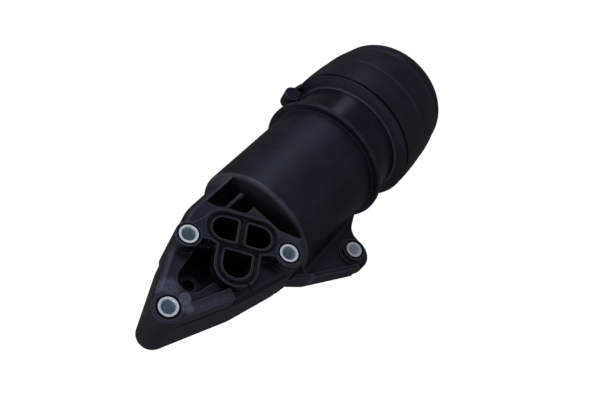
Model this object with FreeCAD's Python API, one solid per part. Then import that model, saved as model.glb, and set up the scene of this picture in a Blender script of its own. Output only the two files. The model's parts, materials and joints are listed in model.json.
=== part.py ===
import FreeCAD, Part
import math
import os

# Oil filter housing. Millimetres, +Z along the bowl axis from the bowl floor to
# the screw cap. The origin is on that axis in the plane of the bowl underside.
# The mounting face looks along -Y.

# Bowl, collar and mouth.
bowl_radius = 36.2
bowl_wall = 3.2
bowl_edge = 2.6
floor_thickness = 4.0
mouth_height = 99.2
collar_drop = 29.6
collar_thickness = 2.8
collar_width = 4.6
neck_growth = 0.7
flare_length = 4.0
flare_width = 7.5
bowl_inside = bowl_radius - bowl_wall
collar_height = mouth_height - collar_drop
collar_radius = bowl_radius + collar_width
neck_radius = bowl_radius + neck_growth
flare_start = mouth_height - flare_length
mouth_radius = bowl_radius + flare_width
mouth_bore = bowl_inside + 0.2

# Mounting block in front of and below the bowl.
face_offset = 33.6
web_step = 7.8
web_thickness = 4.4
block_back = 3.0
block_wall = 3.2
tip_x = 2.2
tip_z = -84.9
tip_radius = 8.2
left_x = -16.6
left_z = -49.1
left_radius = 6.9
right_x = 25.8
right_z = -17.9
right_radius = 7.8
pocket_x = -0.3
pocket_z = -61.8
pocket_radius = 7.5
pocket_floor = 15.8
pin_boss_radius = 6.8
pin_boss_rise = 5.0

# Steel sleeves.
sleeve_radius = 5.0
sleeve_bore = 3.5
sleeve_proud = 0.0
ear_sleeve_radius = 4.7
ear_sleeve_bore = 3.2

# Port cluster, turned in the plane of the mounting face.
cluster_x = 1.25
cluster_z = -27.5
cluster_turn = 31.0
lobe_reach = 9.75
lobe_radius = 10.35
foot_drop = 19.2
foot_radius = 11.6
port_radius = 6.3
port_reach = 9.3
port_flat = 2.5
drain_port_radius = 7.3
drain_port_drop = 18.9
drain_port_flat = 11.8
port_depth = 24.0
rim_width = 1.3
groove_wall = 1.3
groove_depth = 2.2
gasket_proud = 0.6
gasket_side_gap = 0.15

# Ducts from the ports up into the bowl.
inlet_x = -15.0
inlet_duct_radius = 4.5
outlet_x = 1.2
outlet_duct_radius = 4.2
drain_x = 17.5
drain_duct_radius = 3.5
duct_wall = 3.0

# Bracket with the fourth fixing.
ear_x = 50.3
ear_z = 32.6
ear_radius = 10.2
ear_face = 5.5
bracket_front = 1.0
bracket_back = 5.0
bracket_fillet = 3.0
lip_width = 2.4
lip_front = 4.0
lip_back = 8.0

# Round boss on the side of the neck.
side_boss_radius = 5.2
side_boss_face = 11.2
side_boss_rib = 1.8
side_boss_lean = 1.2
side_boss_x = -(neck_radius + 4.0)
side_boss_z = mouth_height - 12.8

# Screw cap.
cap_gap = 0.6
cap_step_rise = 21.6
cap_shoulder_rise = 21.2
cap_crown_rise = 15.4
cap_wall = 3.4
hex_across_flats = 27.0
hex_height = 8.0
cap_band_radius = mouth_radius
cap_step_height = mouth_height + cap_step_rise
cap_shoulder_height = cap_step_height + cap_shoulder_rise
cap_shoulder_radius = cap_band_radius - 3.3
cap_top = cap_shoulder_height + cap_crown_rise

# Skirt of the cap inside the mouth. Its lower part is thinner, for the screw thread.
skirt_length = 20.2
skirt_wall = 3.5
thread_relief = 1.5
ring_drop = 5.7
ring_tube = 1.4
skirt_clearance = 0.3
skirt_radius = mouth_bore - skirt_clearance
skirt_bore = skirt_radius - skirt_wall
skirt_foot = mouth_height - skirt_length
ring_height = mouth_height - ring_drop

# Filter insert.
insert_gap = 5.4
media_bottom = 24.0
media_inner = 14.6
pleat_count = 34
paper = 0.9
disc_thickness = 2.5
core_outer = 13.9
core_inner = 12.3
stub_radius = 9.4
stub_rise = 13.0
disc_radius = bowl_inside - insert_gap
media_outer = disc_radius - 0.8
media_top = mouth_height + 24.8
stub_top = media_top + stub_rise

# Standpipe and valves.
standpipe_radius = 7.5
standpipe_bore = 5.0
standpipe_top = mouth_height + 1.8
check_cage_radius = 6.6
check_cage_top = 14.0
check_disc_radius = 5.3
bypass_seat_radius = 5.6
bypass_poppet_radius = 7.0

AXIS = FreeCAD.Vector(0, 0, 1)
DEPTH = FreeCAD.Vector(0, 1, 0)
ORIGIN = FreeCAD.Vector(0, 0, 0)
web_y = -(face_offset - web_step)
face_y = -face_offset
turn = math.radians(cluster_turn)


def post(x, z, radius, y0, y1):
    """Round post along Y."""
    return Part.makeCylinder(radius, y1 - y0, FreeCAD.Vector(x, y0, z), DEPTH)


def riser(x, y, radius, z0, z1):
    """Round post along Z."""
    return Part.makeCylinder(radius, z1 - z0, FreeCAD.Vector(x, y, z0), AXIS)


def ring(x, y, outer, inner, z0, z1):
    """Round tube along Z."""
    return riser(x, y, outer, z0, z1).cut(riser(x, y, inner, z0 - 1, z1 + 1))


def prism(points, y0, y1):
    """Straight-sided outline in the XZ plane, run along Y."""
    loop = [FreeCAD.Vector(x, y0, z) for x, z in points]
    loop.append(loop[0])
    face = Part.Face(Part.makePolygon(loop))
    return face.extrude(DEPTH * (y1 - y0))


def bar(x0, z0, x1, z1, width, y0, y1):
    """Flat bar between two points of the XZ plane, run along Y."""
    length = math.hypot(x1 - x0, z1 - z0)
    side_x = (z1 - z0) / length * width / 2
    side_z = (x0 - x1) / length * width / 2
    corners = [
        (x0 + side_x, z0 + side_z),
        (x1 + side_x, z1 + side_z),
        (x1 - side_x, z1 - side_z),
        (x0 - side_x, z0 - side_z),
    ]
    return prism(corners, y0, y1)


def rounded(points, y0, y1):
    """Outline in the XZ plane with a radius at every corner, run along Y."""
    edges = []
    last = None
    first = None
    count = len(points)
    for i in range(count):
        x, z, radius = points[i]
        corner = FreeCAD.Vector(x, y0, z)
        before = FreeCAD.Vector(points[i - 1][0], y0, points[i - 1][1])
        after = FreeCAD.Vector(points[(i + 1) % count][0], y0, points[(i + 1) % count][1])
        back = (before - corner).normalize()
        ahead = (after - corner).normalize()
        half = back.getAngle(ahead) / 2
        reach = radius / math.tan(half)
        start = corner + back * reach
        end = corner + ahead * reach
        bisector = (back + ahead).normalize()
        middle = corner + bisector * (radius / math.sin(half) - radius)
        if last is not None:
            edges.append(Part.makeLine(last, start))
        else:
            first = start
        edges.append(Part.Arc(start, middle, end).toShape())
        last = end
    edges.append(Part.makeLine(last, first))
    face = Part.Face(Part.Wire(edges))
    return face.extrude(DEPTH * (y1 - y0))


def revolved(steps):
    """Profile of lines and three-point arcs in radius and height, turned about Z."""
    edges = []
    here = FreeCAD.Vector(steps[0][0], 0, steps[0][1])
    for step in steps[1:]:
        target = FreeCAD.Vector(step[-2], 0, step[-1])
        if len(step) == 4:
            middle = FreeCAD.Vector(step[0], 0, step[1])
            edges.append(Part.Arc(here, middle, target).toShape())
        else:
            edges.append(Part.makeLine(here, target))
        here = target
    face = Part.Face(Part.Wire(edges))
    return face.revolve(ORIGIN, AXIS, 360)


def joined(shapes):
    """One solid from touching ones."""
    whole = shapes[0].multiFuse(shapes[1:]).removeSplitter()
    return whole.Solids[0] if len(whole.Solids) == 1 else whole


def arc_point(cx, cz, radius, degrees):
    """Point on a circle in a revolved profile."""
    angle = math.radians(degrees)
    return (cx + radius * math.cos(angle), cz + radius * math.sin(angle))


def in_cluster(u, w):
    """Point of the port cluster's own frame, in X and Z."""
    x = cluster_x + u * math.cos(turn) - w * math.sin(turn)
    z = cluster_z + u * math.sin(turn) + w * math.cos(turn)
    return (x, z)


def cluster_post(u, w, radius, y0, y1):
    x, z = in_cluster(u, w)
    return post(x, z, radius, y0, y1)


def cluster_prism(points, y0, y1):
    return prism([in_cluster(u, w) for u, w in points], y0, y1)


def cluster_body(grow, y0, y1):
    """Two lobes side by side over a round foot."""
    reach = lobe_reach
    lobe = lobe_radius + grow
    foot = foot_radius + grow
    parts = [
        cluster_post(-lobe_reach, 0, lobe, y0, y1),
        cluster_post(lobe_reach, 0, lobe, y0, y1),
        cluster_prism([(-reach, -lobe), (reach, -lobe), (reach, lobe), (-reach, lobe)], y0, y1),
        cluster_post(0, -foot_drop, foot, y0, y1),
        cluster_prism([(-foot, -foot_drop), (foot, -foot_drop), (foot, -3.0), (-foot, -3.0)], y0, y1),
    ]
    return joined(parts)


def side_port(side, grow, y0, y1):
    """D shaped port with its flat towards the middle wall."""
    radius = port_radius + grow
    flat = port_flat - grow
    body = joined([
        cluster_post(side * port_reach, -0.5, radius, y0, y1),
        cluster_prism([
            (side * port_reach, -0.5 - radius),
            (side * flat, -0.5 - radius),
            (side * flat, -0.5 + radius),
            (side * port_reach, -0.5 + radius),
        ], y0, y1),
    ])
    return soften(body, 1.2 + grow)


def foot_port(grow, y0, y1):
    """D shaped port with its flat upwards."""
    radius = drain_port_radius + grow
    flat = drain_port_flat - grow
    body = joined([
        cluster_post(0, -drain_port_drop, radius, y0, y1),
        cluster_prism([
            (-radius, -drain_port_drop),
            (radius, -drain_port_drop),
            (radius, -flat),
            (-radius, -flat),
        ], y0, y1),
    ])
    return soften(body, 1.2 + grow)


def soften(body, radius):
    """Round the sharp corners that run along Y."""
    corners = []
    for edge in body.Edges:
        a = edge.Vertexes[0].Point
        b = edge.Vertexes[-1].Point
        if abs(a.x - b.x) > 0.01 or abs(a.z - b.z) > 0.01:
            continue
        faces = body.ancestorsOfType(edge, Part.Face)
        normals = [f.normalAt(*f.Surface.parameter(a)) for f in faces]
        if abs(math.sin(normals[0].getAngle(normals[1]))) > 0.5:
            corners.append(edge)
    return body.makeFillet(radius, corners) if corners else body


def ports(grow, y0, y1):
    return [side_port(-1, grow, y0, y1), side_port(1, grow, y0, y1), foot_port(grow, y0, y1)]


def front_rim_edges(body, y):
    """Edges that lie in the plane of a front face."""
    return [e for e in body.Edges if abs(e.BoundBox.YMin - y) < 0.01 and abs(e.BoundBox.YMax - y) < 0.01]


def bowl():
    """Bowl, collar, neck and flared mouth in one profile."""
    inner = bowl_inside
    corner = arc_point(bowl_radius - bowl_edge, bowl_edge, bowl_edge, -45)
    inside_corner = arc_point(inner - 3, floor_thickness + 3, 3, -45)
    collar_top = collar_height + collar_thickness
    return revolved([
        (0, 0),
        (bowl_radius - bowl_edge, 0),
        corner + (bowl_radius, bowl_edge),
        (bowl_radius, collar_height),
        (collar_radius - 0.5, collar_height),
        (collar_radius, collar_height + 0.5),
        (collar_radius, collar_top - 0.5),
        (collar_radius - 0.5, collar_top),
        (neck_radius + 1.5, collar_top),
        arc_point(neck_radius + 1.5, collar_top + 1.5, 1.5, -135) + (neck_radius, collar_top + 1.5),
        (neck_radius, flare_start),
        (mouth_radius - 1.0, mouth_height - 1.5),
        (mouth_radius - 0.25, mouth_height - 1.15, mouth_radius, mouth_height - 0.6),
        (mouth_radius, mouth_height),
        (mouth_bore + 0.8, mouth_height),
        (mouth_bore, mouth_height - 0.8),
        (mouth_bore, skirt_foot),
        (inner, skirt_foot - 0.4),
        (inner, floor_thickness + 3),
        inside_corner + (inner - 3, floor_thickness),
        (0, floor_thickness),
        (0, 0),
    ])


def block_outline():
    """Outline of the mounting block, as corners with radii."""
    right_edge = bowl_radius - 2.6
    left_edge = 7.8 - bowl_radius
    return [
        (tip_x + 0.5, tip_z - 20.0, tip_radius),
        (25.2, -51.5, 20.0),
        (right_edge, -21.5, 12.0),
        (right_edge, 2.0, 1.0),
        (left_edge, 2.0, 1.0),
        (left_edge, -34.0, 24.0),
        (-18.9, -60.0, 24.0),
    ]


def block():
    """Hollow-backed mounting block with its raised lands, before the ports are cut."""
    lower = rounded(block_outline(), web_y, block_back)
    left = [e for e in front_rim_edges(lower, web_y) if e.CenterOfMass.x < -4 and e.CenterOfMass.z < 0]
    lower = lower.makeFillet(4.0, left)
    shoulder = -16.0
    reach = 4 * bowl_radius
    keep_low = Part.makeBox(2 * reach, 2 * reach, reach, FreeCAD.Vector(-reach, -reach, shoulder - reach))
    keep_round = riser(0, 0, bowl_radius, shoulder - 1, 1.5)
    lower = joined([lower.common(keep_low), lower.common(keep_round)])
    lower = lower.cut(back_core())
    lands = [
        post(tip_x, tip_z, tip_radius, face_y, block_back),
        post(left_x, left_z, left_radius, face_y, block_back),
        post(right_x, right_z, right_radius, face_y, block_back),
        ejector_land(),
        land_strip(),
        left_bridge(),
        right_bridge(),
        cluster_body(0, face_y, web_y + 1),
    ]
    return joined([lower] + lands)


def ejector_land():
    """Round land of an ejector pin beside the tip fixing."""
    x = tip_x + 2.7
    z = tip_z + 8.7
    neck = bar(x, z, x + 1.5, z - 7.8, 5.4, face_y, web_y + 1)
    return post(x, z, 3.1, face_y, web_y + 1).fuse(neck)


def land_strip():
    """Raised strip along the lower edge, from the tip to the ports."""
    return bar(tip_x + 4.7, tip_z - 2.0, 19.4, -57.0, 5.8, face_y, web_y + 1)


def left_bridge():
    """Land between the left fixing and the ports."""
    points = [(-19.6, -43.2), (-17.2, -33.8), (-9.0, -38.0), (-7.6, -43.4), (-12.4, -47.0)]
    return prism(points, face_y, web_y + 1)


def right_bridge():
    """Land between the right fixing and the ports."""
    points = [(14.2, -30.6), (17.4, -28.8), (21.6, -25.2), (25.6, -13.0), (17.0, -13.2)]
    return prism(points, face_y, web_y + 1)


def pocket(grow, y0, y1):
    """Deep pocket between the left fixing, the ports and the tip, with a round lower end."""
    reach = pocket_radius + grow
    points = [
        (-10.4 - grow, -47.0 + grow),
        (pocket_x - reach, pocket_z),
        (pocket_x + reach, pocket_z),
        (9.6 + grow, -50.0),
        (-2.0, -40.0 + grow),
    ]
    return joined([prism(points, y0, y1), post(pocket_x, pocket_z, reach, y0, y1)])


def pin_boss():
    """Stepped hollow boss that stands on the floor of the pocket."""
    floor = web_y + pocket_floor
    x = pocket_x
    z = pocket_z + 1.0
    base = post(x, z, pin_boss_radius, floor - pin_boss_rise / 2, floor + 0.5)
    top = post(x, z, pin_boss_radius - 2.0, floor - pin_boss_rise, floor + 0.5)
    return base.fuse(top).cut(post(x, z, pin_boss_radius - 3.7, floor - pin_boss_rise - 1, floor - 1.0))


def back_core():
    """Hollows behind the web, open to the back, between walls and ribs."""
    y0 = web_y + web_thickness
    y1 = block_back + 1
    right_edge = bowl_radius - 2.6 - block_wall - 0.4
    left_edge = 7.8 - bowl_radius + block_wall
    points = [
        (1.6, -75.8),
        (22.0, -52.0),
        (right_edge, -23.0),
        (right_edge, -8.0),
        (left_edge, -8.0),
        (left_edge, -34.0),
        (-16.0, -59.0),
    ]
    core = prism(points, y0, y1)
    under_bowl = [
        (-28.0, -27.5),
        (-17.0, -24.5),
        (-3.0, -16.0),
        (14.0, -9.5),
        (34.0, -9.5),
        (34.0, -2.0),
        (-28.0, -2.0),
    ]
    solid = [
        post(tip_x, tip_z, tip_radius, y0 - 1, y1),
        post(left_x, left_z, left_radius + 0.6, y0 - 1, y1),
        post(right_x, right_z, right_radius, y0 - 1, y1),
        cluster_body(0, y0 - 1, y1),
        pocket(2.4, y0 - 1, y1),
        prism(under_bowl, y0 - 1, y1),
        bar(left_x, left_z, left_x - 10.4, left_z + 11.1, 2.2, y0 - 1, y1),
        bar(tip_x, tip_z, tip_x + 1.8, tip_z + 24.9, 2.2, y0 - 1, y1),
        bar(10.0, -60.0, 24.0, -55.0, 2.2, y0 - 1, y1),
        bar(20.0, -44.0, 29.0, -36.0, 2.2, y0 - 1, y1),
    ]
    return core.cut(solid[0].multiFuse(solid[1:]))


def recess():
    """Opening under the bowl in front of the ducts."""
    back = -9.0
    front = -bowl_radius - 2
    lower_edge = [(-24.4, -23.6), (-18.2, -21.4), (-14.6, -17.6), (-7.0, -14.0), (-5.0, -12.0)]
    open_left = prism([(-24.4, 0.0)] + lower_edge + [(-5.0, 0.0)], front, back)
    open_right = prism([(-6.0, 0.0), (-6.0, -6.2), (14.0, -6.2), (24.6, -1.6), (24.6, 0.0)], front, back)
    rib = prism([(-15.3, 0.0), (-15.3, -24.0), (-13.8, -24.0), (-13.8, 0.0)], web_y, back)
    slanted = prism([(-15.4, 0.0), (-15.4, -5.0), (-13.7, -5.0), (-13.7, 0.0)], web_y - 1, web_y + 6)
    return open_left.fuse(open_right).cut(rib.cut(slanted))


def duct(x, radius, bottom):
    """Outer wall of one riser behind the block."""
    y = 0.0
    foot = Part.makeSphere(radius + duct_wall, FreeCAD.Vector(x, y, bottom))
    return riser(x, y, radius + duct_wall, bottom, 1.0).fuse(foot)


def bracket_outline():
    """Outline of the bracket plate, as corners with radii."""
    root = bowl_radius - 6.2
    return [
        (root, -12.0, 1.0),
        (bowl_radius - 0.6, -8.8, 2.0),
        (ear_x - 8.3, ear_z - 34.8, 8.0),
        (ear_x + 10.7, ear_z - 3.3, ear_radius),
        (ear_x + 10.7, ear_z + 8.9, ear_radius),
        (ear_x - 8.3, ear_z + 10.9, 9.0),
        (bowl_radius - 0.6, ear_z + 25.4, 1.0),
        (root, ear_z + 25.4, 1.0),
    ]


def bracket():
    """Plate from the bowl side to the fourth fixing, with a stepped boss and a lip under it."""
    plate = rounded(bracket_outline(), -bracket_front, bracket_back)
    rim = rounded(bracket_outline(), -lip_front, lip_back)
    low_x = ear_x - 8.3
    low_z = ear_z - 34.8
    lip = joined([
        bar(bowl_radius - 3.0, -11.0, low_x, low_z + 0.4, 2 * lip_width, -lip_front, lip_back),
        bar(low_x, low_z + 0.4, ear_x + 9.0, ear_z - 6.0, 2 * lip_width, -lip_front, lip_back),
    ])
    stepped = post(ear_x, ear_z, ear_radius - 2.0, -bracket_front - 1.8, bracket_back)
    boss = post(ear_x, ear_z, ear_radius - 3.5, -ear_face, bracket_back)
    whole = joined([plate, lip.common(rim), stepped, boss, bracket_root(rim)])
    return whole.cut(riser(0, 0, bowl_radius - 1.0, -20, collar_height))


def bracket_root(rim):
    """Fillet between the bowl and the front of the plate."""
    r = bracket_fillet
    centre_y = -bracket_front - r
    centre_x = math.sqrt((bowl_radius + r) ** 2 - centre_y ** 2)
    near = bowl_radius / (bowl_radius + r)
    corners = [
        (bowl_radius - 3.0, -bracket_front + 0.5),
        (centre_x, -bracket_front + 0.5),
        (centre_x, -bracket_front),
        (centre_x * near, centre_y * near),
        (bowl_radius - 3.0, centre_y * near),
    ]
    loop = [FreeCAD.Vector(x, y, 0.5) for x, y in corners + corners[:1]]
    block = Part.Face(Part.makePolygon(loop)).extrude(AXIS * (collar_height - 0.5))
    return block.cut(riser(centre_x, centre_y, r, 0, collar_height + 1)).common(rim)


def side_boss():
    """Round boss on the neck with a thin rib up to the mouth."""
    boss = post(side_boss_x, side_boss_z, side_boss_radius, -side_boss_face, -1.5)
    boss = boss.makeChamfer(0.5, front_rim_edges(boss, -side_boss_face))
    x = side_boss_x
    z = side_boss_z
    top = mouth_height - 1.4
    foot = z - 0.4
    left = x - 3.3
    right = left + side_boss_rib
    outline = [(left, foot), (right, foot), (right + side_boss_lean, top), (left + side_boss_lean, top)]
    rib = prism(outline, -side_boss_face + 1.5, -4.5)
    tie = Part.makeBox(8.0, 8.0, 7.6, FreeCAD.Vector(x - 1.1, -9.5, z - 3.8))
    whole = joined([boss, rib, tie])
    return whole.cut(riser(0, 0, neck_radius - 1.2, collar_height, mouth_height + 10))


def housing():
    """The moulded body in one piece."""
    whole = bowl()
    added = [
        block(),
        duct(inlet_x, inlet_duct_radius, -32.0),
        duct(outlet_x, outlet_duct_radius, -24.0),
        duct(drain_x, drain_duct_radius, -41.5),
        bracket(),
        side_boss(),
    ]
    for piece in added:
        whole = whole.fuse(piece)
    whole = whole.cut(riser(0, 0, bowl_inside, floor_thickness + 3, skirt_foot - 0.4))
    for hollow in housing_hollows():
        whole = whole.cut(hollow)
    return whole.Solids[0] if len(whole.Solids) == 1 else whole


def housing_hollows():
    """Everything cut out of the moulded body: recess, pocket, groove, ports, ducts and bores."""
    floor = web_y + pocket_floor
    groove_floor = face_y + groove_depth
    groove = cluster_body(-groove_wall, face_y - 1, groove_floor)
    cuts = [
        recess(),
        pocket(0, web_y - 1, floor).cut(pin_boss()),
        pocket(-1.5, floor + 3.0, block_back + 1),
        groove.cut(joined(ports(rim_width, face_y - 2, groove_floor + 1))),
    ]
    cuts += ports(0, face_y - 1, face_y + port_depth)
    port_exits = [
        (in_cluster(-port_reach, -0.5), inlet_x, inlet_duct_radius),
        (in_cluster(port_reach - 4.5, -1.5), outlet_x, outlet_duct_radius),
        (in_cluster(2.6, -drain_port_drop + 3.0), drain_x, drain_duct_radius),
    ]
    start = face_y + port_depth - 1
    for (x, z), target, radius in port_exits:
        cuts.append(post(x, z, radius, start, 0.0))
        cuts.append(bar(x, z, target, z, radius * 2, start + 1, 0.5))
        cuts.append(riser(target, 0, radius, z, floor_thickness + 1))
    cuts.append(riser(0, 0, standpipe_radius, floor_thickness - 2.5, floor_thickness + 1))
    for x, z in [(tip_x, tip_z), (left_x, left_z), (right_x, right_z)]:
        cuts.append(post(x, z, sleeve_radius, face_y - 1, block_back + 1))
    cuts.append(post(ear_x, ear_z, ear_sleeve_radius, -ear_face - 1, bracket_back + 1))
    return cuts


def sleeve(x, z, outer, bore, y0, y1):
    """Steel sleeve with broken edges."""
    tube = post(x, z, outer, y0, y1).cut(post(x, z, bore, y0 - 1, y1 + 1))
    edges = front_rim_edges(tube, y0) + front_rim_edges(tube, y1)
    inner = [e for e in edges if abs(e.Curve.Radius - bore) < 0.01]
    return tube.makeChamfer(0.4, inner)


def gasket():
    """Rubber gasket that fills the groove round and between the ports."""
    y0 = face_y - gasket_proud
    y1 = face_y + groove_depth
    body = cluster_body(-groove_wall - gasket_side_gap, y0, y1)
    openings = joined(ports(rim_width + gasket_side_gap, y0 - 1, y1 + 1))
    body = body.cut(openings).removeSplitter()
    tab = bar(20.6, -47.2, 26.4, -49.6, 1.1, y0, y0 + 0.6)
    return body.fuse(tab).removeSplitter()


def screw_cap():
    """Cap with two bands, rounded shoulder, skirt, drive hexagon and clip for the insert."""
    return joined([cap_shell(), cap_drive(), cap_clip()] + cap_ribs())


def cap_shell():
    """Wall of the cap in one profile, from the foot of the skirt to the crown."""
    foot = mouth_height + cap_gap
    step = cap_step_height
    shoulder = cap_shoulder_height
    band = cap_band_radius
    relief = skirt_radius - thread_relief
    relief_top = ring_height - 3.1
    inside = band - cap_wall
    groove = ring_height - 1.9, ring_height + 1.9
    groove_radius = skirt_radius - 2.6
    crown_inside = cap_top - cap_wall
    middle = shoulder + 0.48 * cap_crown_rise
    return revolved([
        (skirt_bore, skirt_foot),
        (relief - 0.5, skirt_foot),
        (relief, skirt_foot + 0.5),
        (relief, relief_top),
        (skirt_radius, relief_top),
        (skirt_radius, groove[0]),
        (groove_radius, groove[0]),
        (groove_radius, groove[1]),
        (skirt_radius, groove[1]),
        (skirt_radius, foot),
        (band - 0.4, foot),
        (band, foot + 0.5),
        (band + 0.1, (foot + step) / 2, band - 0.4, step - 0.4),
        (band - 0.8, step),
        (band - 1.3, (step + shoulder) / 2, cap_shoulder_radius, shoulder),
        (cap_shoulder_radius - 0.7, shoulder + 0.5),
        (cap_shoulder_radius - 1.5, middle, cap_shoulder_radius - 6.0, cap_top - 1.8),
        (cap_shoulder_radius - 7.4, cap_top - 0.5, cap_shoulder_radius - 9.4, cap_top),
        (0, cap_top),
        (0, crown_inside),
        (cap_shoulder_radius - 10.4, crown_inside),
        (cap_shoulder_radius - 5.5, middle, cap_shoulder_radius - 4.0, shoulder),
        (inside - 1.7, step + 0.6),
        (inside - 0.4, step - 1.2),
        (inside, foot + cap_wall),
        (skirt_bore, foot + cap_wall),
        (skirt_bore, skirt_foot),
    ])


def cap_drive():
    """Hexagon for a socket, with a bevelled end and a shallow hole."""
    radius = hex_across_flats / 2 / math.cos(math.pi / 6)
    end = cap_top + hex_height
    corners = []
    for i in range(7):
        angle = math.radians(60 * i)
        corners.append(FreeCAD.Vector(radius * math.cos(angle), radius * math.sin(angle), cap_top - 1))
    drive = Part.Face(Part.makePolygon(corners)).extrude(AXIS * (hex_height + 1))
    bevel = revolved([
        (0, cap_top - 2),
        (radius + 1, cap_top - 2),
        (radius + 1, end - 1.6),
        (radius - 1.2, end),
        (0, end),
        (0, cap_top - 2),
    ])
    return drive.common(bevel).cut(riser(0, 0, radius / 2, cap_top + 3, end + 1))


def cap_clip():
    """Slotted ring inside the crown that snaps over the stub of the insert."""
    foot = stub_top - 9.0
    clip = ring(0, 0, stub_radius + 3.4, stub_radius + 0.7, foot, cap_top - 1)
    catch = revolved([
        (stub_radius + 1.0, foot),
        (stub_radius + 0.1, foot + 1.2),
        (stub_radius + 0.1, foot + 2.2),
        (stub_radius + 1.0, foot + 3.0),
        (stub_radius + 1.0, foot),
    ])
    reach = stub_radius + 4.5
    slots = []
    for i in range(4):
        slot = Part.makeBox(2 * reach, 2.0, 14.0, FreeCAD.Vector(-reach, -1.0, foot - 1))
        slot.rotate(ORIGIN, AXIS, 45 * i)
        slots.append(slot)
    return clip.fuse(catch).cut(slots)


def cap_ribs():
    """Radial ribs between the clip and the crown."""
    inner = stub_radius + 2.4
    outer = cap_shoulder_radius - 8.0
    height = 1.4 * cap_crown_rise
    slope = Part.makeCone(0, height + 8.0, height + 8.0, FreeCAD.Vector(0, 0, cap_top - height - 15.0), AXIS)
    ribs = []
    for i in range(8):
        rib = Part.makeBox(outer - inner, 1.8, height, FreeCAD.Vector(inner, -0.9, cap_top - height - 2.0))
        rib = rib.cut(slope)
        rib.rotate(ORIGIN, AXIS, 45 * i + 22.5)
        ribs.append(rib)
    return ribs


def torus(x, y, z, radius, tube):
    return Part.makeTorus(radius, tube, FreeCAD.Vector(x, y, z), AXIS)


def pleats():
    """Folded paper as one band between two saw-tooth rings."""
    outer = []
    inner = []
    for i in range(2 * pleat_count):
        angle = math.pi * i / pleat_count
        tip = i % 2 == 0
        a = media_outer if tip else media_inner + paper * 1.3
        b = media_outer - paper * 1.4 if tip else media_inner
        outer.append(FreeCAD.Vector(a * math.cos(angle), a * math.sin(angle), media_bottom))
        inner.append(FreeCAD.Vector(b * math.cos(angle), b * math.sin(angle), media_bottom))
    height = AXIS * (media_top - media_bottom)
    full = Part.Face(Part.makePolygon(outer + [outer[0]])).extrude(height)
    empty = Part.Face(Part.makePolygon(inner + [inner[0]])).extrude(height)
    return full.cut(empty)


def support_tube():
    """Open cage inside the paper."""
    tube = ring(0, 0, core_outer, core_inner, media_bottom, media_top)
    windows = []
    rows = 6
    pitch = (media_top - media_bottom - 6) / rows
    for row in range(rows):
        for i in range(4):
            z = media_bottom + 3 + row * pitch + 2
            slot = Part.makeBox(40, 5.0, pitch - 4, FreeCAD.Vector(-20, -2.5, z))
            slot.rotate(ORIGIN, AXIS, 45 * i + 22.5 * (row % 2))
            windows.append(slot)
    return tube.cut(windows)


def upper_disc():
    """End disc with the clip stub and the seat of the bypass valve."""
    top = media_top + disc_thickness
    plate = riser(0, 0, disc_radius, media_top, top)
    lip = ring(0, 0, disc_radius, disc_radius - 0.7, media_top - 3, media_top)
    stub = revolved([
        (bypass_seat_radius + 1.6, media_top),
        (stub_radius - 0.6, media_top),
        (stub_radius - 0.6, stub_top - 4.4),
        (stub_radius + 0.55, stub_top - 3.6),
        (stub_radius + 0.55, stub_top - 2.6),
        (stub_radius - 1.2, stub_top),
        (bypass_seat_radius + 1.6, stub_top),
        (bypass_seat_radius + 1.6, media_top),
    ])
    gates = []
    for i in range(2):
        gate = Part.makeBox(40, 3.0, 6.0, FreeCAD.Vector(-20, -1.5, top + 0.4))
        gate.rotate(ORIGIN, AXIS, 90 * i)
        gates.append(gate.common(riser(0, 0, stub_radius + 2, top, top + 8)))
    whole = joined([plate, lip, stub]).cut(gates)
    return whole.cut(riser(0, 0, bypass_seat_radius, media_top - 1, top + 1))


def lower_disc():
    """End disc with the collar that seals on the standpipe."""
    bottom = media_bottom - disc_thickness
    plate = ring(0, 0, disc_radius, standpipe_radius + 2.4, bottom, media_bottom)
    lip = ring(0, 0, disc_radius, disc_radius - 0.7, media_bottom, media_bottom + 3)
    collar = ring(0, 0, standpipe_radius + 3.8, standpipe_radius + 0.35, bottom - 3.6, bottom + 0.6)
    groove = ring(0, 0, standpipe_radius + 2.4, standpipe_radius - 1, bottom - 2.8, bottom - 0.4)
    socket = ring(drain_x, 0, 4.2, 2.4, bottom - 3.0, bottom)
    whole = joined([plate, lip, collar, socket]).cut(groove)
    return whole.cut(riser(drain_x, 0, 2.4, bottom - 4, bottom + 1.2))


def drain_pin():
    """Pin that closes the drain duct until the insert is lifted."""
    top = media_bottom - disc_thickness + 1.2
    tip = -7.0
    shaft = riser(drain_x, 0, 2.4, tip + 12, top)
    plug = riser(drain_x, 0, drain_duct_radius - 0.3, tip + 1.4, tip + 12)
    nose = Part.makeCone(1.6, drain_duct_radius - 0.3, 1.4, FreeCAD.Vector(drain_x, 0, tip), AXIS)
    groove = ring(drain_x, 0, drain_duct_radius, 2.25, -2.0, -0.6)
    return joined([shaft, plug, nose]).cut(groove)


def standpipe():
    """Clean oil pipe, pressed into the floor, with inlet slots near the top."""
    foot = floor_thickness - 2.5
    tube = ring(0, 0, standpipe_radius, standpipe_bore, foot, standpipe_top)
    flange = ring(0, 0, standpipe_radius + 1.0, standpipe_bore, floor_thickness, floor_thickness + 2.0)
    whole = joined([tube, flange])
    ends = [e for e in whole.Edges if abs(e.BoundBox.ZMin - standpipe_top) < 0.01]
    whole = whole.makeChamfer(1.0, [e for e in ends if e.Curve.Radius > standpipe_bore + 0.5])
    slots = []
    for i in range(2):
        for z in (21.0, 35.0, 49.0):
            slot = Part.makeBox(30, 4.0, 9.0, FreeCAD.Vector(-15, -2.0, standpipe_top - z))
            slot.rotate(ORIGIN, AXIS, 90 * i)
            slots.append(slot)
    return whole.cut(slots)


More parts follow.
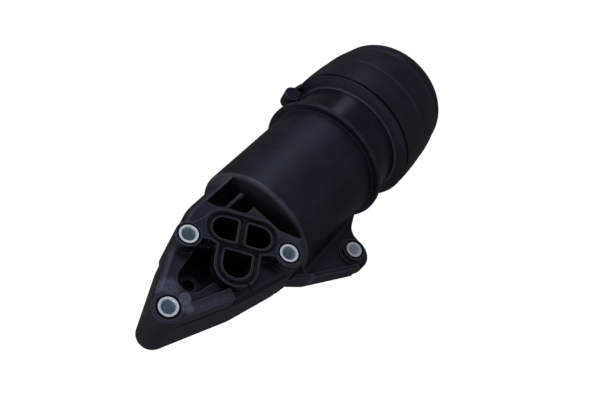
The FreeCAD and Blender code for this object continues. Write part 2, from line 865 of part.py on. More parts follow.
def check_cage():
    """Basket over the inlet duct that guides the check disc."""
    z0 = floor_thickness
    shell = ring(inlet_x, 0, check_cage_radius, check_disc_radius + 0.35, z0, check_cage_top)
    lid = ring(inlet_x, 0, check_cage_radius, 1.1, check_cage_top - 1.2, check_cage_top)
    windows = []
    for i in range(2):
        window = Part.makeBox(30, 6.4, check_cage_top - z0 - 3.4, FreeCAD.Vector(-15, -3.2, z0 + 1.6))
        window.rotate(ORIGIN, AXIS, 90 * i + 45)
        window.translate(FreeCAD.Vector(inlet_x, 0, 0))
        windows.append(window)
    cage = joined([shell, lid])
    guard = riser(inlet_x, 0, check_cage_radius + 2, z0, check_cage_top - 1.2)
    return cage.cut([w.common(guard) for w in windows])


def check_disc():
    """Disc that stops the bowl from draining back, on a short stem."""
    z0 = floor_thickness + 0.05
    disc = riser(inlet_x, 0, check_disc_radius, z0, z0 + 1.4)
    stem = riser(inlet_x, 0, 1.0, z0 + 1.4, check_cage_top - 0.8)
    return joined([disc, stem])


def coil(x, y, z0, z1, radius, wire, turns):
    """Round wire spring."""
    pitch = (z1 - z0 - wire * 2) / turns
    helix = Part.makeLongHelix(pitch, pitch * turns, radius, 0)
    section = Part.Wire(Part.makeCircle(wire, FreeCAD.Vector(radius, 0, 0), DEPTH).Edges)
    spring = Part.Wire(helix.Edges).makePipeShell([section], True, False)
    spring.translate(FreeCAD.Vector(x, y, z0 + wire))
    return spring


def bypass_cage():
    """Cup under the upper disc that holds the bypass poppet and its spring."""
    z0 = media_top - 15.0
    shell = ring(0, 0, core_inner - 0.4, core_inner - 1.8, z0, media_top)
    base = ring(0, 0, core_inner - 0.4, 1.45, z0, z0 + 1.4)
    windows = []
    for i in range(2):
        window = Part.makeBox(40, 10.0, 8.6, FreeCAD.Vector(-20, -5.0, z0 + 3.2))
        window.rotate(ORIGIN, AXIS, 90 * i)
        windows.append(window)
    holes = []
    for i in range(4):
        x, y = arc_point(0, 0, 7.4, 90 * i + 45)
        holes.append(riser(x, y, 1.8, z0 - 1, z0 + 2))
    return joined([shell, base]).cut(windows + holes)


def bypass_poppet():
    """Mushroom poppet on its stem."""
    top = media_top - 0.05
    head = riser(0, 0, bypass_poppet_radius, top - 1.6, top)
    stem = riser(0, 0, 1.4, media_top - 17.0, top - 1.6)
    return joined([head, stem])


sleeve_front = face_y - sleeve_proud
ear_front = -ear_face - sleeve_proud

parts = {
    "housing": housing(),
    "sleeve_tip": sleeve(tip_x, tip_z, sleeve_radius, sleeve_bore, sleeve_front, block_back),
    "sleeve_left": sleeve(left_x, left_z, sleeve_radius, sleeve_bore, sleeve_front, block_back),
    "sleeve_right": sleeve(right_x, right_z, sleeve_radius, sleeve_bore, sleeve_front, block_back),
    "sleeve_bracket": sleeve(ear_x, ear_z, ear_sleeve_radius, ear_sleeve_bore, ear_front, bracket_back),
    "flange_gasket": gasket(),
    "screw_cap": screw_cap(),
    "cap_ring": torus(0, 0, ring_height, skirt_radius - 1.15, ring_tube),
    "filter_media": pleats(),
    "filter_upper_disc": upper_disc(),
    "filter_lower_disc": lower_disc(),
    "support_tube": support_tube(),
    "core_ring": torus(0, 0, media_bottom - disc_thickness - 1.6, standpipe_radius + 1.2, 1.15),
    "drain_pin": drain_pin(),
    "drain_ring": torus(drain_x, 0, -1.3, 2.95, 0.52),
    "standpipe": standpipe(),
    "check_cage": check_cage(),
    "check_disc": check_disc(),
    "check_spring": coil(inlet_x, 0, floor_thickness + 1.5, check_cage_top - 1.25, 3.2, 0.4, 4),
    "bypass_cage": bypass_cage(),
    "bypass_poppet": bypass_poppet(),
    "bypass_spring": coil(0, 0, media_top - 13.6, media_top - 1.7, 4.2, 0.55, 4),
}

os.makedirs("parts", exist_ok=True)
for name, shape in parts.items():
    shape.exportStep("parts/" + name + ".step")
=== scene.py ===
import json
import math

import bpy
import numpy as np
from mathutils import Matrix, Vector


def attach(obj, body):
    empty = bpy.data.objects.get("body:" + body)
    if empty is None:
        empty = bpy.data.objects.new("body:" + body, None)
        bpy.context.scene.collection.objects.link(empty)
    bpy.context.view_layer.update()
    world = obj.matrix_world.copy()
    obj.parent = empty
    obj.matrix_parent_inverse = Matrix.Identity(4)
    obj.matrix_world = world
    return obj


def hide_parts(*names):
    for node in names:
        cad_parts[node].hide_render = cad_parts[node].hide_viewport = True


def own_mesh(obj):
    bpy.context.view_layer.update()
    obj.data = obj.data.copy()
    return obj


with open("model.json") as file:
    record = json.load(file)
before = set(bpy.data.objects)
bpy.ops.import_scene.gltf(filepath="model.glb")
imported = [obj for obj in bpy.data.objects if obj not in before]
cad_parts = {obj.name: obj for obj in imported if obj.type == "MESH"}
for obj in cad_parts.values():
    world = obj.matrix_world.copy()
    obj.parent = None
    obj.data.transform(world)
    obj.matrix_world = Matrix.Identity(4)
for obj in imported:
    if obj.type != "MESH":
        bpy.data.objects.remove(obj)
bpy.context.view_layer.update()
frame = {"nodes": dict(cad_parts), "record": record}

# Places on the object, in metres: the mounting face with its three sleeves (x, z), the
# bracket's sleeve with the joint round it, and the heights of the round parts' edges.
FACE_Y = -0.0336
TIP = (0.0022, -0.0849)
LEFT = (-0.0166, -0.0491)
RIGHT = (0.0258, -0.0179)
SLEEVE_RADIUS = 0.0050
EAR = (0.0503, 0.0326)
EAR_JOINT = 0.0052
EAR_FRONT_Y = -0.0050
COLLAR_TOP = 0.0724
FLARE_START = 0.0952
MOUTH = 0.0992
CAP_LINES = (0.1208, 0.1420)

# Radii beyond which a look belongs to the round parts, and to the painted shade in the joint
# under the cap's band.
ROUND_FROM = 0.0345
JOINT_FROM = 0.0385

# Pale places on the flange's front (x, z), one a painted highlight along the left edge, and the
# rims of the sleeves' bosses, which get painted highlights.
EJECTOR_MARK = (0.0049, -0.0762)
TIP_SHOULDER = (TIP[0] - 0.0070, TIP[1] + 0.0105)
PALE_SPOT = (0.0088, -0.0788)
LEFT_EDGE_HIGHLIGHT = ((-0.0190, -0.0570), (-0.0085, -0.0790))
PALE_STRIP = ((0.0105, -0.0790), (0.0195, -0.0600))
BOSS_RIMS = ((*TIP, 0.0069), (*LEFT, 0.0063), (*RIGHT, 0.0064))

# Colours of the black plastic, linear, with alpha.
PLASTIC_DARK = (0.0034, 0.0042, 0.0088, 1)
PLASTIC_PALE = (0.0100, 0.0119, 0.0245, 1)
# Painted highlight colour for the edges.
EDGE_HIGHLIGHT_COLOUR = (0.100, 0.108, 0.145, 1)
# Painted highlight colour for the lines round the cap, the flare's foot and the bowl's rim.
HIGHLIGHT_LINE_COLOUR = (0.100, 0.108, 0.140, 1)
# Painted light for the recess under the bowl.
HOLLOW_LIGHT_COLOUR = (0.055, 0.060, 0.078, 1)
# Colour of the pale places, partly painted highlight.
PALE_AND_HIGHLIGHT_COLOUR = (0.105, 0.115, 0.165, 1)
DUST_COLOUR = (0.34, 0.35, 0.38, 1)
# Painted shade in the gaps.
SHADE_BLACK = (0.0, 0.0, 0.0, 1)


class Sock:
    """A shader socket that takes part in Python arithmetic."""

    def __init__(self, tree, out):
        self.tree = tree
        self.out = out

    def _math(self, operation, *values):
        node = self.tree.nodes.new("ShaderNodeMath")
        node.operation = operation
        for slot, value in zip(node.inputs, values):
            if isinstance(value, Sock):
                self.tree.links.new(value.out, slot)
            else:
                slot.default_value = value
        return Sock(self.tree, node.outputs[0])

    def __add__(self, other):
        return self._math("ADD", self, other)

    __radd__ = __add__

    def __sub__(self, other):
        return self._math("SUBTRACT", self, other)

    def __rsub__(self, other):
        return self._math("SUBTRACT", other, self)

    def __mul__(self, other):
        return self._math("MULTIPLY", self, other)

    __rmul__ = __mul__

    def __truediv__(self, other):
        return self._math("DIVIDE", self, other)

    def __pow__(self, other):
        return self._math("POWER", self, other)

    def __abs__(self):
        return self._math("ABSOLUTE", self)

    def clamp(self):
        """Held between 0 and 1."""
        return self._math("MINIMUM", self._math("MAXIMUM", self, 0.0), 1.0)

    def ramp(self, low, high):
        """0 below low, 1 above high, smooth between."""
        t = ((self - low) / (high - low)).clamp()
        return t * t * (3.0 - 2.0 * t)


class Finish:
    """Builds one material from expressions on its sockets."""

    def __init__(self, name, **constants):
        self.material = bpy.data.materials.new(name)
        self.material.use_nodes = True
        self.tree = self.material.node_tree
        self.tree.nodes.clear()
        self.shader = self.tree.nodes.new("ShaderNodeBsdfPrincipled")
        self.output = self.tree.nodes.new("ShaderNodeOutputMaterial")
        self.tree.links.new(self.shader.outputs[0], self.output.inputs["Surface"])
        for socket, value in constants.items():
            self.shader.inputs[socket.replace("_", " ")].default_value = value
        self.place = self.node("ShaderNodeTexCoord")("Object")

    def node(self, kind, settings=None, **values):
        """Makes a node with its settings, values and links; returns a getter for its outputs.

        A value goes to the input of its name, or, where its name is i and a number, to the
        input of that number.
        """
        made = self.tree.nodes.new(kind)
        for key, value in (settings or {}).items():
            setattr(made, key, value)
        for key, value in values.items():
            numbered = key[0] == "i" and key[1:].isdigit()
            slot = made.inputs[int(key[1:]) if numbered else key]
            if isinstance(value, Sock):
                self.tree.links.new(value.out, slot)
            else:
                slot.default_value = value
        return lambda name=0: Sock(self.tree, made.outputs[name])

    def noise(self, scale, detail=2.0, rough=0.5):
        """Cloudy noise, 0 to 1, in the object's own coordinates."""
        values = {"Vector": self.place, "Scale": scale, "Detail": detail, "Roughness": rough}
        return self.node("ShaderNodeTexNoise", **values)("Fac")

    def cells(self, scale):
        """Distance to the nearest of scattered points."""
        return self.node("ShaderNodeTexVoronoi", Vector=self.place, Scale=scale)("Distance")

    def axes(self):
        """The object's own x, y and z."""
        parts = self.node("ShaderNodeSeparateXYZ", Vector=self.place)
        return parts("X"), parts("Y"), parts("Z")

    def mix(self, factor, low, high):
        """Colour between two others."""
        return self.node("ShaderNodeMix", {"data_type": "RGBA"}, i0=factor, i6=low, i7=high)(2)

    def feed(self, socket, value):
        """Links a value to an input of the material's shader."""
        self.tree.links.new(value.out, self.shader.inputs[socket])

    def bump(self, height, distance, strength=1.0, edge=0.0):
        """Relief of a depth in metres; edge is the radius that sharp corners seem rounded by."""
        relief = {"Height": height, "Distance": distance, "Strength": strength}
        if edge:
            relief["Normal"] = self.node("ShaderNodeBevel", {"samples": 4}, Radius=edge)("Normal")
        self.feed("Normal", self.node("ShaderNodeBump", **relief)("Normal"))


def away_from(finish, x, z):
    """Distance from a point of the XZ plane: root of the summed squares."""
    px, _, pz = finish.axes()
    return ((px - x) ** 2.0 + (pz - z) ** 2.0) ** 0.5


def near(finish, x, z, radius, soft):
    """1 inside a round spot in the XZ plane, fading over the soft width."""
    return 1.0 - away_from(finish, x, z).ramp(radius, radius + soft)


def ring(finish, x, z, radius, half):
    """1 on a circle in the XZ plane, fading over half its width to either side."""
    return (1.0 - abs(away_from(finish, x, z) - radius) / half).clamp()


def streak(finish, start, end, width):
    """1 on the line between two points of the XZ plane, fading over the width."""
    px, _, pz = finish.axes()
    dx, dz = end[0] - start[0], end[1] - start[1]
    length = math.hypot(dx, dz)
    along = (px - start[0]) * (dx / length) + (pz - start[1]) * (dz / length)
    off = abs((px - start[0]) * (dz / length) - (pz - start[1]) * (dx / length))
    ends = along.ramp(-width, 0.0) * (1.0 - along.ramp(length, length + width))
    return (1.0 - off / width).clamp() * ends


def level(value, height, half):
    """1 at a height, fading to nothing within half a width above and below."""
    return (1.0 - abs(value - height) / half).clamp()


def pale_and_highlight_places(f):
    """Pale places of the flange: by the tip sleeve, the ejector mark, the rims and the strip;
    those on the rims and along the left edge are painted highlights.
    """
    _, y, _ = f.axes()
    front = (0.0 - y).ramp(0.0235, 0.0245)
    patchy = f.noise(650.0, 5.0, 0.75).ramp(0.35, 0.65)
    fine = f.noise(1500.0, 3.0, 0.7).ramp(0.40, 0.60)
    mark = near(f, *EJECTOR_MARK, 0.0029, 0.0004) * (0.55 + 0.45 * fine)
    shoulder = near(f, *TIP_SHOULDER, 0.0032, 0.0045) * (0.35 + 0.65 * patchy)
    pale_spot = near(f, *PALE_SPOT, 0.0016, 0.0024) * (0.3 + 0.7 * patchy)
    # Painted highlight along the rounded left edge.
    edge = streak(f, *LEFT_EDGE_HIGHLIGHT, 0.0030) * (0.08 + 0.34 * patchy)
    strip = streak(f, *PALE_STRIP, 0.0034) * (0.15 + 0.35 * fine)
    high = (0.0 - y).ramp(-FACE_Y - 0.0006, -FACE_Y - 0.0002)
    # Painted highlights on the rims of the sleeves' bosses.
    rim_highlights = sum(ring(f, x, z, radius, 0.0007) for x, z, radius in BOSS_RIMS)
    pale_and_lit = mark + shoulder + pale_spot + edge + strip + rim_highlights * high * 0.35
    return (pale_and_lit * front).clamp()


def gap_shade_mask(f):
    """Painted shade: black where shadow falls in the joints under the cap's band, round each
    sleeve in its boss and round the bracket's sleeve.
    """
    x, y, z = f.axes()
    outside = (x ** 2.0 + y ** 2.0).ramp(JOINT_FROM ** 2, (JOINT_FROM + 0.0005) ** 2)
    joint = level(z, MOUTH + 0.0003, 0.0013) * outside
    sleeves = sum(ring(f, *place, SLEEVE_RADIUS + 0.0005, 0.0009) for place in (TIP, LEFT, RIGHT))
    sleeves = sleeves * (0.0 - y).ramp(-FACE_Y - 0.0011, -FACE_Y - 0.0006)
    ear = ring(f, *EAR, EAR_JOINT, 0.0008)
    ear = ear * (0.0 - y).ramp(-EAR_FRONT_Y, -EAR_FRONT_Y + 0.0003)
    return ((joint * 1.5).clamp() + sleeves + ear).clamp()


def moulded_black():
    """Near-black plastic: grain, gloss drift, painted edge highlights and highlight lines,
    painted light in the hollow under the bowl, pale places partly painted highlight, painted
    shade in the joints, and dust.
    """
    f = Finish("moulded_black", Metallic=0.0, Specular_Tint=(0.62, 0.72, 1.0, 1))
    x, y, z = f.axes()
    drift = f.noise(38.0, 3.0)
    mottle = f.noise(160.0, 4.0, 0.6)
    grain = f.noise(2600.0, 2.0, 0.6)
    tone = (drift * 0.6 + mottle * 0.4).ramp(0.36, 0.66)
    base = f.mix(tone, PLASTIC_DARK, PLASTIC_PALE)
    wall = (x ** 2.0 + y ** 2.0).ramp(ROUND_FROM ** 2, (ROUND_FROM + 0.0005) ** 2)
    round_part = wall * z.ramp(-0.0005, 0.0)

    # Painted highlight: where the bevelled normal leans off the true normal, the edges are
    # painted paler, as if they caught the light.
    rounded = f.node("ShaderNodeBevel", {"samples": 6}, Radius=0.0009)("Normal")
    true = f.node("ShaderNodeNewGeometry")("Normal")
    along = f.node("ShaderNodeVectorMath", {"operation": "DOT_PRODUCT"}, i0=rounded, i1=true)
    edge = (1.0 - along("Value")).ramp(0.01, 0.16)
    base = f.mix((edge * (0.45 + 1.0 * mottle)).clamp(), base, EDGE_HIGHLIGHT_COLOUR)

    # Painted highlight: thin pale lines at the cap's steps, the flare's foot and the bowl's
    # bottom rim, and a faintly paler flare.
    lit_flare = z.ramp(FLARE_START, MOUTH) * (1.0 - z.ramp(MOUTH, MOUTH + 0.0005))
    highlight_lines = sum(level(z, height, 0.0006) for height in (*CAP_LINES, FLARE_START))
    highlight_lines = highlight_lines + level(z, 0.0010, 0.0016) + 0.12 * lit_flare
    base = f.mix((highlight_lines * round_part).clamp() * (0.35 + 0.7 * mottle), base, HIGHLIGHT_LINE_COLOUR)

    # Painted light: the recess under the bowl is painted paler, in place of light bounced into
    # it.
    lit_hollow = z.ramp(-0.0150, -0.0010) * (1.0 - z.ramp(0.0002, 0.0010))
    lit_hollow = lit_hollow * (0.0 - y).ramp(0.0020, 0.0060)
    base = f.mix(lit_hollow * 0.8 * (1.0 - round_part), base, HOLLOW_LIGHT_COLOUR)
    # Pale places of the flange, partly painted highlight.
    pale_and_highlight = pale_and_highlight_places(f)
    base = f.mix(pale_and_highlight, base, PALE_AND_HIGHLIGHT_COLOUR)

    dusty = f.noise(60.0, 3.0).ramp(0.60, 0.66) * f.noise(90.0, 2.0) * 0.9
    speck = (1.0 - f.cells(330.0).ramp(0.045, 0.085)) * dusty
    base = f.mix(speck.clamp(), base, DUST_COLOUR)

    # Painted shade: the gaps are painted black and metallic, so that they reflect nothing.
    gap_shade = gap_shade_mask(f)
    f.feed("Base Color", f.mix(gap_shade, base, SHADE_BLACK))
    f.feed("Metallic", gap_shade)
    neck = z.ramp(COLLAR_TOP - 0.0005, COLLAR_TOP)
    neck = neck * (1.0 - z.ramp(FLARE_START, FLARE_START + 0.0005))
    rough = 0.38 + 0.14 * drift + 0.10 * mottle
    f.feed("Roughness", rough - neck * 0.25 + pale_and_highlight * 0.12)
    f.bump(grain * 0.6 + mottle * 0.4, 0.00004, 0.5, 0.00045)
    return f.material


def zinc_steel():
    """Plated steel with faint turning marks."""
    f = Finish("zinc_steel", Metallic=0.6)
    tone = f.noise(700.0, 3.0).ramp(0.3, 0.7)
    f.feed("Base Color", f.mix(tone, (0.72, 0.85, 0.98, 1), (0.84, 0.93, 1.00, 1)))
    f.feed("Roughness", 0.20 + 0.10 * f.noise(1500.0, 2.0))
    f.bump(f.noise(2500.0, 2.0), 0.00003, 0.5)
    return f.material


def gasket_rubber():
    """Black moulded rubber, duller than the plastic round it."""
    sheen = {"Specular_IOR_Level": 0.20, "Specular_Tint": (0.58, 0.70, 1.0, 1)}
    f = Finish("gasket_rubber", Metallic=0.0, **sheen)
    tone = f.noise(600.0, 3.0)
    f.feed("Base Color", f.mix(tone, (0.0012, 0.0015, 0.0022, 1), (0.0030, 0.0036, 0.0050, 1)))
    f.feed("Roughness", 0.30 + 0.12 * f.noise(350.0, 2.0))
    f.bump(f.noise(3000.0, 2.0), 0.00003, 0.5)
    return f.material


def insert_plastic():
    """Dull grey plastic of the inner parts."""
    f = Finish("insert_plastic", Metallic=0.0)
    tone = f.noise(200.0, 3.0)
    f.feed("Base Color", f.mix(tone, (0.10, 0.105, 0.11, 1), (0.17, 0.175, 0.18, 1)))
    f.feed("Roughness", 0.45 + 0.15 * f.noise(500.0, 2.0))
    f.bump(f.noise(2200.0, 2.0), 0.00004, 0.5)
    return f.material


def filter_paper():
    """Fibrous yellowish paper."""
    f = Finish("filter_paper", Metallic=0.0)
    fibre = f.noise(1800.0, 4.0, 0.7)
    tone = fibre.ramp(0.3, 0.7)
    f.feed("Base Color", f.mix(tone, (0.42, 0.31, 0.14, 1), (0.62, 0.49, 0.26, 1)))
    f.feed("Roughness", 0.75 + 0.2 * fibre)
    f.bump(fibre, 0.0001, 0.7)
    return f.material


def spring_wire():
    """Drawn steel wire."""
    f = Finish("spring_wire", Metallic=1.0)
    tone = f.noise(900.0, 3.0)
    f.feed("Base Color", f.mix(tone, (0.45, 0.45, 0.46, 1), (0.62, 0.62, 0.63, 1)))
    f.feed("Roughness", 0.25 + 0.15 * tone)
    f.bump(tone, 0.00002, 0.4)
    return f.material


FINISHES = {
    "black_plastic": moulded_black(),
    "steel": zinc_steel(),
    "rubber": gasket_rubber(),
    "grey_plastic": insert_plastic(),
    "paper": filter_paper(),
    "spring_steel": spring_wire(),
}


def dress_nodes():
    """Gives every node of the frame the finish of its material slot."""
    slots = {part["node"]: part["material_slot"] for part in frame["record"]["subparts"]}
    for name, piece in frame["nodes"].items():
        piece.data.materials.clear()
        piece.data.materials.append(FINISHES[slots[name]])


dress_nodes()


def surface(name, points, finish, body, wrap_rows=False, caps=False, smooth=True):
    """Tube of quads through points [row, column, xyz]: its columns close on themselves.

    Its rows close too where told, or get a fan of triangles over both ends.
    """
    rows, columns, _ = points.shape
    index = np.arange(rows * columns).reshape(rows, columns)
    r = np.arange(rows if wrap_rows else rows - 1)
    r, c = (part.ravel() for part in np.meshgrid(r, np.arange(columns), indexing="ij"))
    after, beside = (r + 1) % rows, (c + 1) % columns
    corners = [index[r, c], index[r, beside], index[after, beside], index[after, c]]
    faces = np.stack(corners, axis=1).tolist()
    vertices = points.reshape(-1, 3)
    if caps:
        ends = np.array([points[0].mean(axis=0), points[-1].mean(axis=0)])
        first, last = len(vertices), len(vertices) + 1
        vertices = np.vstack([vertices, ends])
        for k in range(columns):
            n = (k + 1) % columns
            faces.append([first, index[0, n], index[0, k]])
            faces.append([last, index[-1, k], index[-1, n]])
    mesh = bpy.data.meshes.new(name)
    mesh.from_pydata(vertices.tolist(), [], [[int(v) for v in face] for face in faces])
    mesh.materials.append(FINISHES[finish])
    mesh.polygons.foreach_set("use_smooth", [smooth] * len(mesh.polygons))
    mesh.update()
    piece = bpy.data.objects.new(name, mesh)
    bpy.context.scene.collection.objects.link(piece)
    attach(piece, body)
    return piece


# Sides of every round section: beads and spring wire.
SIDES = 12


def round_section():
    """Angles of a round section, shaped to go with points [row, side, xyz]."""
    return np.linspace(0, 2 * math.pi, SIDES, endpoint=False)[None, :, None]


def bead(name, path, closed=False):
    """Round rubber bead along a path in a plane of constant Y.

    Each point is the path's point plus the radius times (cos t across + sin t depth).
    """
    ahead = np.roll(path, -1, axis=0) - np.roll(path, 1, axis=0)
    if not closed:
        ahead[0] = path[1] - path[0]
        ahead[-1] = path[-1] - path[-2]
    ahead = ahead / np.linalg.norm(ahead, axis=1)[:, None]
    depth = np.array([0.0, -1.0, 0.0])
    across = np.cross(depth, ahead)
    angle = round_section()
    offset = np.cos(angle) * across[:, None] + np.sin(angle) * depth
    points = path[:, None] + BEAD_RADIUS * offset
    surface(name, points, "rubber", "housing", wrap_rows=closed, caps=not closed)


# Port cluster of the mounting face: its centre and turn, and the middle lines of its gasket.
# The two upper ports lie LOBE_REACH to either side, the lower one FOOT_DROP below.
CLUSTER = (0.00125, -0.0275)
CLUSTER_TURN = math.radians(31.0)
LOBE_REACH = 0.0095
LOBE_LINE = 0.0083
LOBE_LOWER = 0.0003
FOOT_DROP = 0.01905
FOOT_LINE = 0.00945
BOW_GAP = 0.0006
BAR_GAP = 0.0005
BEAD_Y = FACE_Y - 0.00058
BEAD_RADIUS = 0.00032


def in_cluster(u, w):
    """Points of the cluster's own frame, turned into place on the front of the gasket."""
    x = CLUSTER[0] + u * math.cos(CLUSTER_TURN) - w * math.sin(CLUSTER_TURN)
    z = CLUSTER[1] + u * math.sin(CLUSTER_TURN) + w * math.cos(CLUSTER_TURN)
    return np.stack([x, np.full_like(x, BEAD_Y), z], axis=1)


def gasket_beads():
    """Raised sealing bead: a ring round the two upper ports, a bow round the lower, a bar.

    The ring is two half circles joined by straights, the bow a half circle with straight ends,
    and the bar runs straight between the upper ports.
    """
    left = np.radians(np.linspace(90, 270, 40))
    right = np.radians(np.linspace(-90, 90, 40))
    turn = np.concatenate([left, right])
    side = np.repeat([-LOBE_REACH, LOBE_REACH], 40)
    ring_path = in_cluster(side + LOBE_LINE * np.cos(turn), LOBE_LINE * np.sin(turn) - LOBE_LOWER)
    bead("gasket_bead_ring", ring_path, closed=True)
    bow = np.radians(np.linspace(180, 360, 50))
    top = -LOBE_LINE - BOW_GAP
    u = np.concatenate([[-FOOT_LINE], FOOT_LINE * np.cos(bow), [FOOT_LINE]])
    w = np.concatenate([[top], -FOOT_DROP + FOOT_LINE * np.sin(bow), [top]])
    bead("gasket_bead_bow", in_cluster(u, w))
    bar = np.linspace(LOBE_LINE - BAR_GAP, -LOBE_LINE, 12)
    bead("gasket_bead_bar", in_cluster(np.zeros_like(bar), bar))


# Screw thread: widths of the ridge at its foot and crest, and how deep its foot is sunk.
THREAD_PITCH = 0.003
THREAD_TURNS = 3
THREAD_BASE = 0.0017
THREAD_CREST = 0.0008
THREAD_SINK = 0.0003
THREAD_FADE = math.radians(40)


def thread(name, body, wall, crest, start):
    """Ridge on a helix: the height grows by the pitch each turn.

    The radius runs from the wall to the crest, and the ridge fades in and out at its ends.
    """
    angle = np.linspace(0, 2 * math.pi * THREAD_TURNS, 96 * THREAD_TURNS + 1)[:, None]
    fade = np.clip(np.minimum(angle, angle[-1] - angle) / THREAD_FADE, 0.0, 1.0)
    rise = crest - wall
    inward = rise < 0
    sink = THREAD_SINK if inward else -THREAD_SINK
    profile = np.array([0.0, 0.0, rise, rise, 0.0, 0.0])
    feet = np.array([sink, 0.0, 0.0, 0.0, 0.0, sink])
    radius = wall + fade * profile + feet
    base, top = THREAD_BASE / 2, THREAD_CREST / 2
    across = np.array([-base, -base, -top, top, base, base])
    height = start + THREAD_PITCH * angle / (2 * math.pi) + across
    points = np.stack([radius * np.cos(angle), radius * np.sin(angle), height], axis=2)
    if not inward:
        points = points[:, ::-1]
    surface(name, points, "black_plastic", body, caps=True)


def threads():
    """Thread of the bowl's mouth and, half a pitch away, that of the cap's skirt."""
    thread("bowl_thread", "housing", wall=0.0332, crest=0.0320, start=0.0793)
    thread("cap_thread", "cap", wall=0.0314, crest=0.0328, start=0.0808)


def coil(name, body, place, radius, wire, foot, top):
    """Round wire on a helix about (x, y): radius plus wire cos t outward, wire sin t down.

    The height rises by one wire's thickness over the first and the last turn, which are closed,
    and evenly between them.
    """
    turn = np.linspace(0, COIL_TURNS, 40 * COIL_TURNS + 1)
    thick = 2 * wire
    full = top - foot - thick
    rise = np.interp(turn, [0, 1, COIL_TURNS - 1, COIL_TURNS], [0, thick, full - thick, full])
    angle = 2 * math.pi * turn
    still = np.zeros_like(angle)
    outward = np.stack([np.cos(angle), np.sin(angle), still], axis=1)[:, None]
    centre = np.stack([still + place[0], still + place[1], foot + wire + rise], axis=1)[:, None]
    section = round_section()
    down = np.array([0.0, 0.0, -1.0])
    points = centre + (radius + wire * np.cos(section)) * outward + wire * np.sin(section) * down
    return surface(name, points, "spring_steel", body, caps=True)


# Springs of the valves: their turns, where the check spring stands, and the heights of their ends
# at rest.
COIL_TURNS = 5
CHECK_X = -0.015
CHECK_FOOT = 0.0055
CHECK_TOP = 0.01275
BYPASS_FOOT = 0.1104
BYPASS_TOP = 0.1223


def valve_springs():
    """Springs of the two valves, made in place of the frame's springs, which are hidden."""
    check = coil("check_coil", "housing", (CHECK_X, 0.0), 0.0032, 0.0004, CHECK_FOOT, CHECK_TOP)
    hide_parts("check_spring")
    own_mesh(check)
    bypass = coil("bypass_coil", "insert", (0.0, 0.0), 0.0042, 0.00055, BYPASS_FOOT, BYPASS_TOP)
    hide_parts("bypass_spring")
    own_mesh(bypass)


# Gusset between the block's side wall and the bracket: height, outer x and back y of each row.
GUSSET_INSIDE = 0.0306
GUSSET_FRONT = -0.0060
GUSSET_CORNER = 0.0335
GUSSET_BEVEL = 0.0005
GUSSET_ROWS = np.array([
    (-0.0240, 0.0327, 0.0027), (-0.0210, 0.0335, 0.0030), (-0.0180, 0.0342, 0.0042),
    (-0.0160, 0.0345, 0.0050), (-0.0140, 0.0346, 0.0052), (-0.0120, 0.0350, 0.0060),
    (-0.0100, 0.0351, 0.0061), (-0.0088, 0.0354, 0.0063), (0.0020, 0.0355, 0.0063),
])


def bracket_gusset():
    """Six-sided section that grows up the wall.

    Each row runs from inside the wall to the row's outer x, and from a flush front to its back y.
    """
    height, outer, back = GUSSET_ROWS.T
    still = np.zeros_like(height)
    inside = still + GUSSET_INSIDE
    front = still + GUSSET_FRONT
    corner = np.minimum(outer, GUSSET_CORNER)
    x = np.stack([inside, corner, outer, outer, outer - GUSSET_BEVEL, inside], axis=1)
    y = np.stack([front, front, still, back - GUSSET_BEVEL, back, back], axis=1)
    z = np.repeat(height[:, None], 6, axis=1)
    points = np.stack([x, y, z], axis=2)
    surface("bracket_gusset", points, "black_plastic", "housing", caps=True, smooth=False)


gasket_beads()
threads()
valve_springs()
bracket_gusset()


# Floor: a plane behind the object, with its glow to the camera and its glow in reflections.
FLOOR_HEIGHT = 0.035
FLOOR_BEHIND = 0.112
FLOOR_HALF = 2.0
FLOOR_SEEN = 1.12
FLOOR_GLOW_SHARE = 0.9
FLOOR_MIRRORED = 0.11

# Studio light: name, direction (right, up, back), distance, size and power of each soft box.
AMBIENT = 0.09
LAMP_AIM = (0.0, -0.01, 0.035)
LAMPS = [
    ("key_above", (-0.16, 0.85, 0.50), 0.9, 0.50, 2.9),
    ("fill_left", (-0.68, -0.49, 0.55), 0.9, 0.9, 2.9),
    ("fill_right", (0.84, 0.05, 0.54), 0.9, 0.6, 0.75),
    ("fill_low", (-0.20, -0.79, 0.57), 0.9, 0.9, 0.6),
    ("strip_top", (0.18, 0.97, 0.10), 0.9, 0.25, 0.34),
    ("sleeve_glint", (0.49, 0.73, 0.48), 0.88, 0.26, 0.15),
]

# The photograph's camera: the bearings in the picture of the bowl's axis and of the face's
# normal, the angle of the axis from the picture plane and of the normal from the line of
# sight, and where the object's origin lies (right, down, away).
FOCAL_PIXELS = 800.0
PICTURE_WIDTH = 600.0
SENSOR_WIDTH = 36.0
AXIS_BEARING = math.radians(45.1)
AXIS_AWAY = math.radians(36.8)
FACE_BEARING = math.radians(53.4)
FACE_TILT = math.radians(37.1)
ORIGIN_SHIFT = (-0.0266, 0.0160, 0.4480)


def seen_direction(bearing, flat, away):
    """Direction in camera terms (right, down, away) of a line with its bearing in the picture."""
    return Vector((flat * math.cos(bearing), -flat * math.sin(bearing), away))


axis_seen = seen_direction(AXIS_BEARING, math.cos(AXIS_AWAY), math.sin(AXIS_AWAY))
face_seen = seen_direction(FACE_BEARING, math.sin(FACE_TILT), -math.cos(FACE_TILT))
face_seen = (face_seen - axis_seen * face_seen.dot(axis_seen)).normalized()
depth_seen = -face_seen
side_seen = depth_seen.cross(axis_seen)
to_object = Matrix((side_seen, depth_seen, axis_seen))
VIEW_RIGHT = to_object @ Vector((1, 0, 0))
VIEW_UP = to_object @ Vector((0, -1, 0))
VIEW_BACK = to_object @ Vector((0, 0, -1))
camera_place = -(to_object @ Vector(ORIGIN_SHIFT))


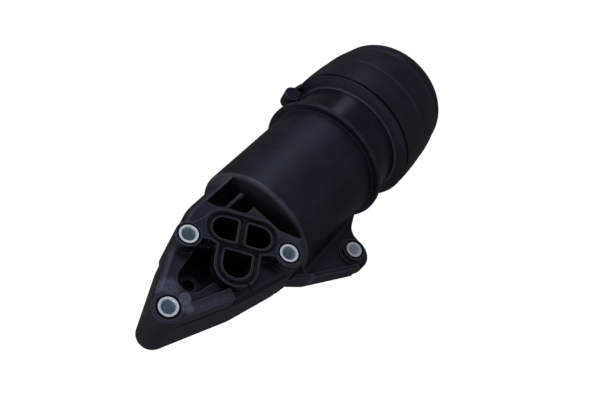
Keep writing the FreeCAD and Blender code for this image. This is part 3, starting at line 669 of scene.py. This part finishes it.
def stage_floor():
    """Pale floor behind the object as the camera sees it, clear from behind."""
    centre = Vector((0.0, 0.0, FLOOR_HEIGHT)) - VIEW_BACK * FLOOR_BEHIND
    across, up = VIEW_RIGHT * FLOOR_HALF, VIEW_UP * FLOOR_HALF
    signs = ((-1, -1), (1, -1), (1, 1), (-1, 1))
    corners = [centre + across * i + up * j for i, j in signs]
    mesh = bpy.data.meshes.new("floor")
    mesh.from_pydata([tuple(c) for c in corners], [], [(0, 1, 2, 3)])
    floor = bpy.data.objects.new("floor", mesh)
    bpy.context.scene.collection.objects.link(floor)
    f = Finish("floor_white", Roughness=0.9)
    f.shader.inputs["Base Color"].default_value = (0.8, 0.8, 0.8, 1)
    path = f.node("ShaderNodeLightPath")
    seen = (path("Is Camera Ray") + path("Is Transmission Ray")).clamp()
    mirrored = path("Is Glossy Ray")
    strength = FLOOR_SEEN - mirrored * (FLOOR_SEEN - FLOOR_MIRRORED)
    glow = f.node("ShaderNodeEmission", Color=(1, 1, 1, 1), Strength=strength)
    share = (seen * FLOOR_GLOW_SHARE + mirrored).clamp()
    matt = Sock(f.tree, f.shader.outputs[0])
    lit = f.node("ShaderNodeMixShader", i0=share, i1=matt, i2=glow(0))
    clear = f.node("ShaderNodeBsdfTransparent")
    back = f.node("ShaderNodeNewGeometry")("Backfacing")
    sided = f.node("ShaderNodeMixShader", i0=back, i1=lit(0), i2=clear(0))
    f.tree.links.new(sided(0).out, f.output.inputs["Surface"])
    mesh.materials.append(f.material)


def make_camera():
    """Puts the photograph's camera where it stood."""
    data = bpy.data.cameras.new("camera")
    data.sensor_width = SENSOR_WIDTH
    data.lens = FOCAL_PIXELS / PICTURE_WIDTH * SENSOR_WIDTH
    data.clip_start = 0.01
    data.clip_end = 20.0
    camera = bpy.data.objects.new("camera", data)
    turn = Matrix((VIEW_RIGHT, VIEW_UP, VIEW_BACK)).transposed().to_4x4()
    camera.matrix_world = Matrix.Translation(camera_place) @ turn
    bpy.context.scene.collection.objects.link(camera)
    bpy.context.scene.camera = camera


def soft_light(name, direction, distance, size, power):
    """Square area lamp that looks at the object, placed by view directions right, up and back."""
    right, up, back = direction
    aim = (VIEW_RIGHT * right + VIEW_UP * up + VIEW_BACK * back).normalized()
    data = bpy.data.lights.new(name, "AREA")
    data.size = size
    data.energy = power
    lamp = bpy.data.objects.new(name, data)
    lamp.location = Vector(LAMP_AIM) + aim * distance
    lamp.rotation_mode = "QUATERNION"
    lamp.rotation_quaternion = aim.to_track_quat("Z", "Y")
    bpy.context.scene.collection.objects.link(lamp)


def light_world():
    """Dim white surroundings that the camera sees as full white."""
    world = bpy.data.worlds.new("studio")
    bpy.context.scene.world = world
    world.use_nodes = True
    tree = world.node_tree
    tree.nodes.clear()
    rays = tree.nodes.new("ShaderNodeLightPath")
    camera_ray = Sock(tree, rays.outputs["Is Camera Ray"])
    strength = camera_ray * (1.0 - AMBIENT) + AMBIENT
    glow = tree.nodes.new("ShaderNodeBackground")
    glow.inputs["Color"].default_value = (1, 1, 1, 1)
    tree.links.new(strength.out, glow.inputs["Strength"])
    out = tree.nodes.new("ShaderNodeOutputWorld")
    tree.links.new(glow.outputs[0], out.inputs["Surface"])


make_camera()
stage_floor()
light_world()
for lamp in LAMPS:
    soft_light(*lamp)

bpy.context.scene.view_settings.view_transform = "Standard"
